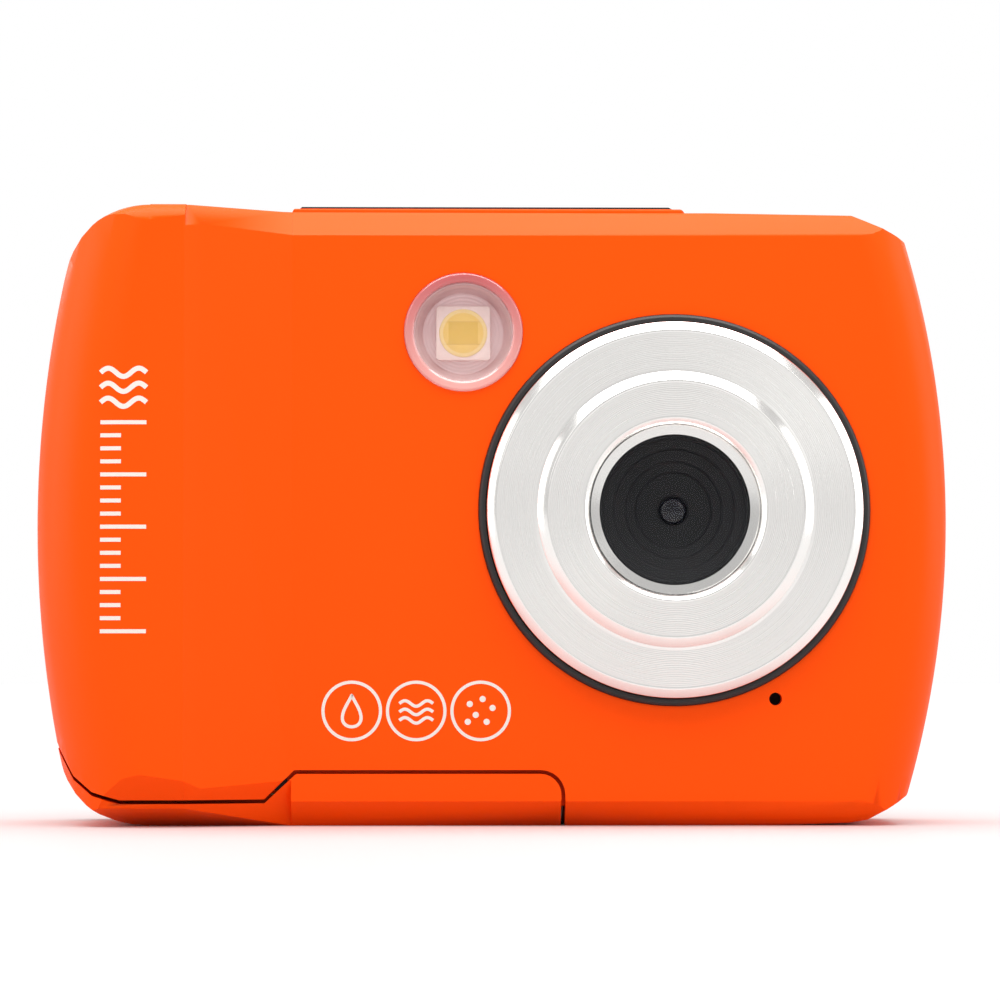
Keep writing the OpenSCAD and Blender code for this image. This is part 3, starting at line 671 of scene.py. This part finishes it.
lens = {"centre": middle("lens_window"), "pitch": 0.18, "groove": 0.03, "outerBand": (17.95, 14.15),
        "innerBand": (12.8, 9.35), "outerSatin": (13.9, 18.05), "innerSatin": (9.25, 12.9),
        "metal": {"lines": 9000, "polish": 0.17, "satin": 0.24, "depth": 0.004}}


def grooved(start, end, forwardStart, forwardEnd):
    # a fine record groove across a band, cut below its face
    count = round(abs(start - end) / lens["pitch"]) * 2
    return [(start + (end - start) * i / count,
             forwardStart + (forwardEnd - forwardStart) * i / count - lens["groove"] * (i % 2))
            for i in range(count + 1)]


def lensRings():
    outer = [(12.2, 8.95), (19, 8.95), (19, 10.35), (18.15, 11)]
    outer += grooved(*lens["outerBand"], 11.006, 11.12) + [(13.2, 11.15), (12.2, 11.15)]
    inner = [(8.55, 9.8), (8.55, 11.25), (9.15, 11.85)]
    inner += reversed(grooved(*lens["innerBand"], 11.85, 11.85))
    inner += [(13, 11.85), (13.95, 11.2), (12.2, 11.2), (12.2, 8.6), (7.6, 8.6), (7.6, 9.8)]
    for ring, node, profile in (("outer", "lens_outer_ring", outer), ("inner", "lens_inner_ring", inner)):
        low, high = lens[ring + "Satin"]
        metal = turnedMetal(ring + "BezelMetal", lens["centre"], silver,
                            {**lens["metal"], "from": low, "to": high})
        bm = turned(profile, lens["centre"], 192)
        roundOff(bm, 0.07, 2, 30)
        newPiece("lens" + ring.capitalize() + "Ring", bm, metal, bodyOf(node), [node])
    trim = turned([(16.8, 7.9), (19.8, 7.9), (19.8, 9.35), (19.5, 9.6), (19.1, 9.6), (19.1, 8.9),
                   (16.8, 8.9)], lens["centre"], 192)
    roundOff(trim, 0.08, 2, 30)
    newPiece("lensTrimRing", trim, black, bodyOf("lens_trim_ring"), ["lens_trim_ring"])


def lensInside():
    window = turned([(0, 9.85), (8.4, 9.85), (8.5, 9.95), (8.5, 10.6), (8.35, 10.75), (0, 10.75)],
                    lens["centre"], 128, closed=False)
    newPiece("lensWindow", window, glass, bodyOf("lens_window"), ["lens_window"])
    hood = turned([(7.55, 5.6), (7.55, 7.3), (16.7, 7.3), (16.7, 8.5), (7.55, 8.5), (7.55, 9.75),
                   (7.2, 9.75), (7.2, 9.1), (6.15, 8.9), (6.15, 8.3), (4.9, 8.1), (4.9, 7.5), (3.85, 7.3),
                   (3.85, 6.9), (2.4, 6.7), (1.5, 6.5), (1.5, 5.6)], lens["centre"], 128)
    roundOff(hood, 0.16, 4, 30)
    newPiece("lensHood", hood, hoodBlack, bodyOf("lens_hood"), ["lens_hood"])
    radius, base, rise = 1.35, 6.1, 0.45
    dome = [(radius * math.cos(math.radians(a)), base + rise * math.sin(math.radians(a)))
            for a in range(0, 90, 9)]
    element = turned([(0, 5.6), (radius, 5.6)] + dome + [(0, base + rise)], lens["centre"], 64, closed=False)
    coated = Paint("lensCoating", {"Specular IOR Level": 0.35, "Roughness": 0.05, "Coat Weight": 0.25,
                                   "Coat Roughness": 0.02})
    sheen = coated.noise(600, 2)
    coated.colour(coated.mix(sheen, tone(6, 6, 12), tone(16, 13, 26)))
    newPiece("lensElement", element, coated.material, bodyOf("lens_element"),
             ["lens_element"])


lensRings()
lensInside()
print("lens done")


# flash

flash = {"centre": middle("flash_window"), "rim": {"inner": 4.95, "outer": 6}, "ledCorner": 0.35}


def flashPieces():
    centre = flash["centre"]
    window = turned([(0, 8.3), (6, 8.3), (6, 9.2), (5.8, 9.4), (5.2, 9.4), (4.95, 9.15), (0, 9.15)],
                    centre, 128, closed=False)
    roundOff(window, 0.08, 3, 28)
    newPiece("flashWindow", window, flashClear(centre, flash["rim"]), bodyOf("flash_window"),
             ["flash_window"])
    dish = turned([(0, 6.6), (4.2, 6.6), (5.1, 7.6), (5.1, 8.2), (4.9, 8.2), (4.9, 7.8), (4.1, 6.7),
                   (0, 6.64)], centre, 128, closed=False)
    newPiece("flashReflector", dish, flashMirror(centre), bodyOf("flash_reflector"),
             ["flash_reflector"])
    led = mergedCopy("flash_led")
    bevelEdges(led, [e for e in led.edges if runsAlongY(e)], flash["ledCorner"], 5)
    roundOff(led, 0.08, 2, 60)
    newPiece("flashLed", led, ledCeramic(), bodyOf("flash_led"), ["flash_led"])
    gel = turned([(0, 7.5), (2.45, 7.5), (2.42, 7.56), (2.3, 7.62), (1.2, 7.68), (0, 7.7)], centre, 96,
                 closed=False)
    newPiece("flashPhosphor", gel, ledPhosphor(centre), bodyOf("flash_phosphor"),
             ["flash_phosphor"])


flashPieces()
print("flash done")


# back: display, buttons and pad

back = {"face": 12.9, "dish": 0.14, "flange": (9.4, 10), "rim": 0.6}


def backButton(name, node):
    low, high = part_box(node)
    centre, radius = (low + high) / 2, (high.x - low.x) / 2 / mm - back["rim"]
    f0, f1 = back["flange"]
    top = back["face"]
    profile = [(0, -f0), (radius + back["rim"], -f0), (radius + back["rim"], -f1), (radius, -f1),
               (radius, -top + 0.28), (radius - 0.09, -top + 0.08), (radius - 0.3, -top),
               (radius - 0.6, -top + 0.02), (radius * 0.4, -top + back["dish"]),
               (0, -top + back["dish"] + 0.02)]
    bm = turned(profile, centre, 72, closed=False)
    return newPiece(name, bm, buttonBlack, bodyOf(node), [node], 40), centre


def markOn(name, piece, centre, shapes, body):
    # small printed shapes round a centre, laid on the back of a piece
    mark = bmesh.new()
    for path, width, closed in shapes:
        ribbon(mark, [(centre.x / mm + x, centre.z / mm + z) for x, z in path], width, closed)
    surface = bmesh.new()
    surface.from_mesh(piece.data)
    return finishPrint(name, mark, ink, body, surface, towards=-1)


# seen from behind, +x is to the left
triangle = [(-0.55, 0), (0.45, 0.7), (0.45, -0.7)]
buttonMarks = {
    "mode": [([(-0.9, -0.55), (0.9, -0.55), (0.9, 0.45), (-0.9, 0.45)], 0.16, True),
             (circlePath(0, -0.05, 0.28, 20), 0.14, True)],
    "play": [(triangle, 0.16, True)],
    "menu": [([(-0.8, z), (0.8, z)], 0.18, False) for z in (-0.5, 0, 0.5)],
    "delete": [([(-0.5, 0.4), (-0.38, -0.7), (0.38, -0.7), (0.5, 0.4)], 0.15, True),
               ([(-0.75, 0.62), (0.75, 0.62)], 0.16, False)],
}
for key, shapes in buttonMarks.items():
    button, centre = backButton(key + "Button", key + "_button")
    markOn(key + "Mark", button, centre, shapes, key)


def controlPad():
    centre = middle("dpad_ring")
    ring = turned([(4, -9.4), (8.9, -9.4), (8.9, -10), (8.3, -10), (8.3, -12.5), (8.2, -12.78), (7.9, -12.9),
                   (7.2, -12.86), (6.2, -12.66), (5.2, -12.62), (4.7, -12.7), (4.25, -12.62), (4, -12.3)],
                  centre, 128)
    piece = newPiece("dpadRing", ring, buttonBlack, bodyOf("dpad_ring"), ["dpad_ring"], 40)
    arrows = []
    for quarter in range(4):
        turn = Matrix.Rotation(math.radians(90 * quarter), 2)
        arrows.append(([tuple(turn @ Vector(p)) for p in ((6.9, 0), (6, 0.62), (6, -0.62))], 0.2, True))
    markOn("dpadArrows", piece, centre, arrows, bodyOf("dpad_ring"))
    okCentre = middle("ok_button")
    ok = turned([(0, -8.9), (3, -8.9), (3, -9.4), (3.7, -9.6), (3.7, -12.2), (3.62, -12.42), (3.4, -12.6),
                 (3, -12.65), (1.8, -12.52), (0, -12.48)], okCentre, 96, closed=False)
    piece = newPiece("okButton", ok, buttonBlack, bodyOf("ok_button"), ["ok_button"], 40)
    markOn("okMark", piece, okCentre, [(circlePath(0, 0, 0.9, 28), 0.2, True)], bodyOf("ok_button"))


def zoomMarks():
    rocker = bpy.data.objects["zoomRocker"]
    shapes = [([(-5.4, 0), (-4, 0)], 0.25, False), ([(4, 0), (5.4, 0)], 0.25, False),
              ([(4.7, 0.14), (4.7, 0.7)], 0.25, False), ([(4.7, -0.14), (4.7, -0.7)], 0.25, False)]
    markOn("zoomMarks", rocker, middle("zoom_rocker"), shapes, bodyOf("zoom_rocker"))


def display():
    bm = mergedCopy("lcd_window")
    roundOff(bm, 0.25, 4, 30)
    weighted(newPiece("lcdWindow", bm, displayGlass, bodyOf("lcd_window"), ["lcd_window"]))


controlPad()
zoomMarks()
display()
print("back done")


# top: power button

power = {"flangeRadius": 2.9, "flange": (60.3, 61), "radius": 2.2, "ring": 0.85, "stroke": 0.2}


def powerButton():
    low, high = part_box("power_button")
    centre, top = (low + high) / 2, high.z / mm
    wide, radius, (z0, z1) = power["flangeRadius"], power["radius"], power["flange"]
    bm = turnedUp([(0, z0), (wide, z0), (wide, z1), (radius, z1), (radius, top - 0.25),
                   (radius - 0.08, top - 0.06), (radius - 0.3, top), (radius - 0.7, top - 0.04),
                   (0, top - 0.12)], centre, 72)
    newPiece("powerButton", bm, buttonBlack, bodyOf("power_button"), ["power_button"], 40)
    mark = bmesh.new()
    ribbon(mark, circlePath(0, 0, power["ring"], 30, 120, 300), power["stroke"])
    ribbon(mark, [(0, 0.25), (0, 1.1)], power["stroke"])
    tipUp(mark, (centre.x, centre.y, (top - 0.075) * mm))
    bmesh.ops.solidify(mark, geom=mark.faces, thickness=0.02 * mm)
    bmesh.ops.recalc_face_normals(mark, faces=mark.faces)
    newPiece("powerMark", mark, ink, bodyOf("power_button"))


powerButton()
print("top done")


# battery bay, tripod socket

# each spring is its x, y and radius
bay = {"cellRadius": 5.25, "nub": 1.9, "springWire": 0.22, "springTurns": 4,
       "springs": ((-35.6, -4.4, 2.8), (-24.6, -1.9, 2.0)), "cardCorner": 1.6}
socket = {"outer": 4.2, "mouth": 3.6, "lead": 0.45, "bore": 3.17, "depth": 5.5, "threadRadius": 3.2,
          "threadDepth": 0.5, "pitch": 1.27, "turns": 3, "start": 1.15}


def batteryCells():
    low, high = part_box("battery_cells")
    radius, nub = bay["cellRadius"], bay["nub"]
    wrap = cellWrap(low.z, high.z)
    for index, (x, y) in enumerate(((low.x + radius * mm, low.y + radius * mm),
                                    (high.x - radius * mm, high.y - radius * mm))):
        bottom, top = low.z / mm, high.z / mm
        profile = [(0, bottom), (3.6, bottom), (3.7, bottom + 0.15), (4.7, bottom + 0.15),
                   (radius - 0.2, bottom + 0.22), (radius, bottom + 0.5), (radius, top - 1.5),
                   (radius - 0.2, top - 1.15), (4.6, top - 1.02), (2.6, top - 1), (2.5, top - 1.08),
                   (2.1, top - 1.08), (nub, top - 0.9), (nub, top - 0.25), (1.75, top - 0.06), (1.5, top),
                   (0, top)]
        if index:
            profile = [(r, bottom + top - z) for r, z in profile]
        bm = turnedUp(profile, (x, y), 96)
        piece = newPiece("batteryCell" + str(index + 1), bm, wrap, bodyOf("battery_cells"),
                         (), 34)
        if not index:
            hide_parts("battery_cells")


def helix(radius, section, turns, rise, steps):
    # sweeps a closed (radius, height) section round Z while it climbs
    bm = bmesh.new()
    face = bm.faces.new([bm.verts.new(((radius + r) * mm, 0, z * mm)) for r, z in section])
    bmesh.ops.spin(bm, geom=[face] + list(face.edges) + list(face.verts), cent=(0, 0, 0), axis=(0, 0, 1),
                   dvec=(0, 0, rise * mm / steps), angle=2 * math.pi * turns, steps=round(steps * turns))
    bmesh.ops.recalc_face_normals(bm, faces=bm.faces)
    return bm


def doorSprings():
    low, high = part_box("door_springs")
    wire = bay["springWire"]
    section = circlePath(0, 0, wire, 10)
    rise = ((high.z - low.z) / mm - 2 * wire) / bay["springTurns"]
    for index, (x, y, radius) in enumerate(bay["springs"]):
        bm = helix(radius, section, bay["springTurns"], rise, 40)
        bmesh.ops.translate(bm, vec=(x * mm, y * mm, low.z + wire * mm), verts=bm.verts)
        piece = newPiece("doorSpring" + str(index + 1), bm, steel, bodyOf("door_springs"), (), 60)
        if not index:
            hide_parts("door_springs")


def tripodSocket():
    low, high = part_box("tripod_socket")
    centre = (low + high) / 2
    bottom, top = low.z / mm, high.z / mm
    outer, bore, deep = socket["outer"], socket["bore"], socket["depth"]
    body = turnedUp([(0, top), (outer, top), (outer, bottom), (socket["mouth"], bottom),
                     (bore, bottom + socket["lead"]), (bore, deep), (0, deep)], centre, 96)
    newPiece("tripodSocket", body, brass, bodyOf("tripod_socket"), ["tripod_socket"])
    crest = -socket["threadDepth"]
    thread = helix(socket["threadRadius"], [(0, -0.55), (crest, -0.1), (crest, 0.1), (0, 0.55)],
                   socket["turns"], socket["pitch"], 48)
    start = low.z + socket["start"] * mm
    bmesh.ops.translate(thread, vec=(centre.x, centre.y, start), verts=thread.verts)
    newPiece("tripodThread", thread, brass, bodyOf("tripod_socket"), (), 40)


def memoryCard():
    bm = mergedCopy("memory_card")
    low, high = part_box("memory_card")
    near = 0.1 * mm
    corner = [e for e in bm.edges if runsAlongY(e)
              and e.verts[0].co.x > high.x - near and e.verts[0].co.z < low.z + near]
    bevelEdges(bm, corner, bay["cardCorner"], 1)
    roundOff(bm, 0.1, 2, 30)
    card = mouldedPlastic("cardPlastic", tone(34, 34, 40),
                          {"rough": 0.4, "vary": 0.1, "grain": 0.1, "depth": 0.004, "mottle": 0.08,
                           "specular": 0.4})
    weighted(newPiece("memoryCard", bm, card, bodyOf("memory_card"), ["memory_card"]))


batteryCells()
doorSprings()
tripodSocket()
memoryCard()
print("battery bay done")


# printed marks: plain pictograms in place of words

# the column is the depth scale, and the row the three pictograms
marks = {"columnX": -37.1, "columnLow": 19.6, "columnHigh": 46.1, "columnWide": 4.6, "stroke": 0.5,
         "steps": 16, "rowX": (-14.3, -7.8, -1.3), "rowZ": 11.6, "rowR": 2.9, "line": 0.32}


def wavePath(x, z, width, height, humps=1.5, count=48):
    return [(x - width / 2 + width * i / count,
             z + height * math.sin(2 * math.pi * humps * i / count)) for i in range(count + 1)]


def dropPath(x, z, width, height, count=36):
    path = []
    for i in range(count):
        t = 2 * math.pi * i / count
        path.append((x + width * math.sin(t) * math.sin(t / 2) ** 1.5, z + height * math.cos(t)))
    return path


def depthScale():
    bm = bmesh.new()
    x, wide = marks["columnX"], marks["columnWide"]
    for row in range(3):
        ribbon(bm, wavePath(x, marks["columnHigh"] - 0.6 - 1.5 * row, wide, 0.42), marks["stroke"])
    top, steps, parts = marks["columnHigh"] - 5.6, marks["steps"], 24
    for i in range(steps + 1):
        z = top - (top - marks["columnLow"]) * i / steps
        reach = wide if i % 4 == 0 else wide * 0.45
        ribbon(bm, [(x - wide / 2 + reach * k / parts, z) for k in range(parts + 1)], marks["stroke"] * 0.8)
    finishPrint("depthScale", bm, ink, "case", frontSurface)


def pictogramRow():
    bm = bmesh.new()
    z, line = marks["rowZ"], marks["line"]
    drop, wave, dust = marks["rowX"]
    for x in marks["rowX"]:
        ribbon(bm, circlePath(x, z, marks["rowR"], 56), line, True)
    ribbon(bm, dropPath(drop, z, 1.35, 1.6), line, True)
    for level in (0.75, -0.1, -0.95):
        ribbon(bm, wavePath(wave, z + level, 3.4, 0.28), line)
    for dx, dz in ((-1.1, 0.7), (0.2, 1.2), (1.2, 0.3), (-0.5, -0.4), (0.6, -1.1), (-1.3, -1.1)):
        ribbon(bm, circlePath(dust + dx, z + dz, 0.16, 12), line, True)
    finishPrint("pictogramRow", bm, ink, "case", frontSurface)


depthScale()
pictogramRow()
print("marks done")


# camera, light and floor

# in metres and degrees; ambient, backdrop and wash are levels of brightness
studio = {"distance": 0.43, "azimuth": -1.0, "elevation": -2.0, "lens": 150,
          "target": (-0.0002, 0, 0.03165), "shift": (0.010, 0.0154), "lightTarget": (0, 0, 0.03),
          "ambient": 0.66, "backdrop": 1.0, "wash": 0.55}
# each softbox is its place, its size and its brightness
softboxes = {
    "topSoftbox": ((0, -0.05, 0.36), (0.5, 0.35), 5.4),
    "leftSoftbox": ((-0.42, -0.02, 0.12), (0.3, 0.35), 2.0),
    "rightSoftbox": ((0.42, -0.02, 0.12), (0.3, 0.35), 2.0),
    "frontLeft": ((-0.3, -0.42, 0.25), (0.2, 0.25), 1.0),
    "frontRight": ((0.3, -0.42, 0.25), (0.2, 0.25), 1.0),
    "backLeft": ((-0.25, 0.4, 0.25), (0.25, 0.25), 1.6),
    "backRight": ((0.25, 0.4, 0.25), (0.25, 0.25), 1.6),
}


def aim(thing, target):
    direction = Vector(target) - thing.location
    thing.rotation_euler = direction.to_track_quat("-Z", "Y").to_euler()


def addCamera():
    data = bpy.data.cameras.new("viewCamera")
    data.lens = studio["lens"]
    data.sensor_width = 36
    data.shift_x, data.shift_y = studio["shift"]
    data.clip_start = 0.01
    camera = bpy.data.objects.new("viewCamera", data)
    a, e = math.radians(studio["azimuth"]), math.radians(studio["elevation"])
    away = Vector((math.sin(a) * math.cos(e), -math.cos(a) * math.cos(e), math.sin(e)))
    camera.location = Vector(studio["target"]) + away * studio["distance"]
    bpy.context.scene.collection.objects.link(camera)
    aim(camera, studio["target"])
    bpy.context.scene.camera = camera


def addLight(name, place, size, radiance, skip):
    # a softbox of even brightness; skip is the stage object that a flag shades from it
    data = bpy.data.lights.new(name, "AREA")
    data.shape = "RECTANGLE"
    data.size, data.size_y = size
    data.energy = radiance * math.pi * size[0] * size[1]
    light = bpy.data.objects.new(name, data)
    light.location = place
    light.visible_camera = False
    bpy.context.scene.collection.objects.link(light)
    aim(light, studio["lightTarget"])
    flag = bpy.data.collections.new(name + "Flag")
    flag.objects.link(skip)
    flag.collection_objects[0].light_linking.link_state = "EXCLUDE"
    light.light_linking.receiver_collection = flag


def addFloorWash(floor):
    # an even light from above that falls on the floor alone
    data = bpy.data.lights.new("floorWash", "SUN")
    data.energy = studio["wash"] * math.pi
    data.angle = math.radians(60)
    light = bpy.data.objects.new("floorWash", data)
    bpy.context.scene.collection.objects.link(light)
    only = bpy.data.collections.new("floorOnly")
    only.objects.link(floor)
    light.light_linking.receiver_collection = only


def addWorld():
    world = bpy.data.worlds.new("studioWorld")
    bpy.context.scene.world = world
    world.use_nodes = True
    nodes, links = world.node_tree.nodes, world.node_tree.links
    base = nodes["Background"]
    seen = nodes.new("ShaderNodeBackground")
    for node, level in ((base, "ambient"), (seen, "backdrop")):
        node.inputs["Color"].default_value = (1, 1, 1, 1)
        node.inputs["Strength"].default_value = studio[level]
    path = nodes.new("ShaderNodeLightPath")
    mix = nodes.new("ShaderNodeMixShader")
    links.new(path.outputs["Is Camera Ray"], mix.inputs[0])
    links.new(base.outputs[0], mix.inputs[1])
    links.new(seen.outputs[0], mix.inputs[2])
    links.new(mix.outputs[0], nodes["World Output"].inputs["Surface"])


def addFloor():  # a wide pale disc
    bm = bmesh.new()
    bmesh.ops.create_circle(bm, cap_ends=True, segments=96, radius=2.5)
    bmesh.ops.translate(bm, vec=(0, 0, cadLow.z - 0.02 * mm), verts=bm.verts)
    mesh = bpy.data.meshes.new("studioFloor")
    bm.to_mesh(mesh)
    bm.free()
    paint = Paint("studioFloor", {"Roughness": 0.6, "Specular IOR Level": 0.2})
    cloud = paint.noise(3, 2)
    paint.colour(paint.mix(cloud, (0.9, 0.9, 0.9, 1), (0.93, 0.93, 0.93, 1)))
    mesh.materials.append(paint.material)
    floor = bpy.data.objects.new("studioFloor", mesh)
    bpy.context.scene.collection.objects.link(floor)
    return floor


addCamera()
addWorld()
floor = addFloor()
addFloorWash(floor)
for name, (place, size, radiance) in softboxes.items():
    addLight(name, place, size, radiance, floor)
bpy.context.scene.view_settings.view_transform = "Standard"
print("studio ready")
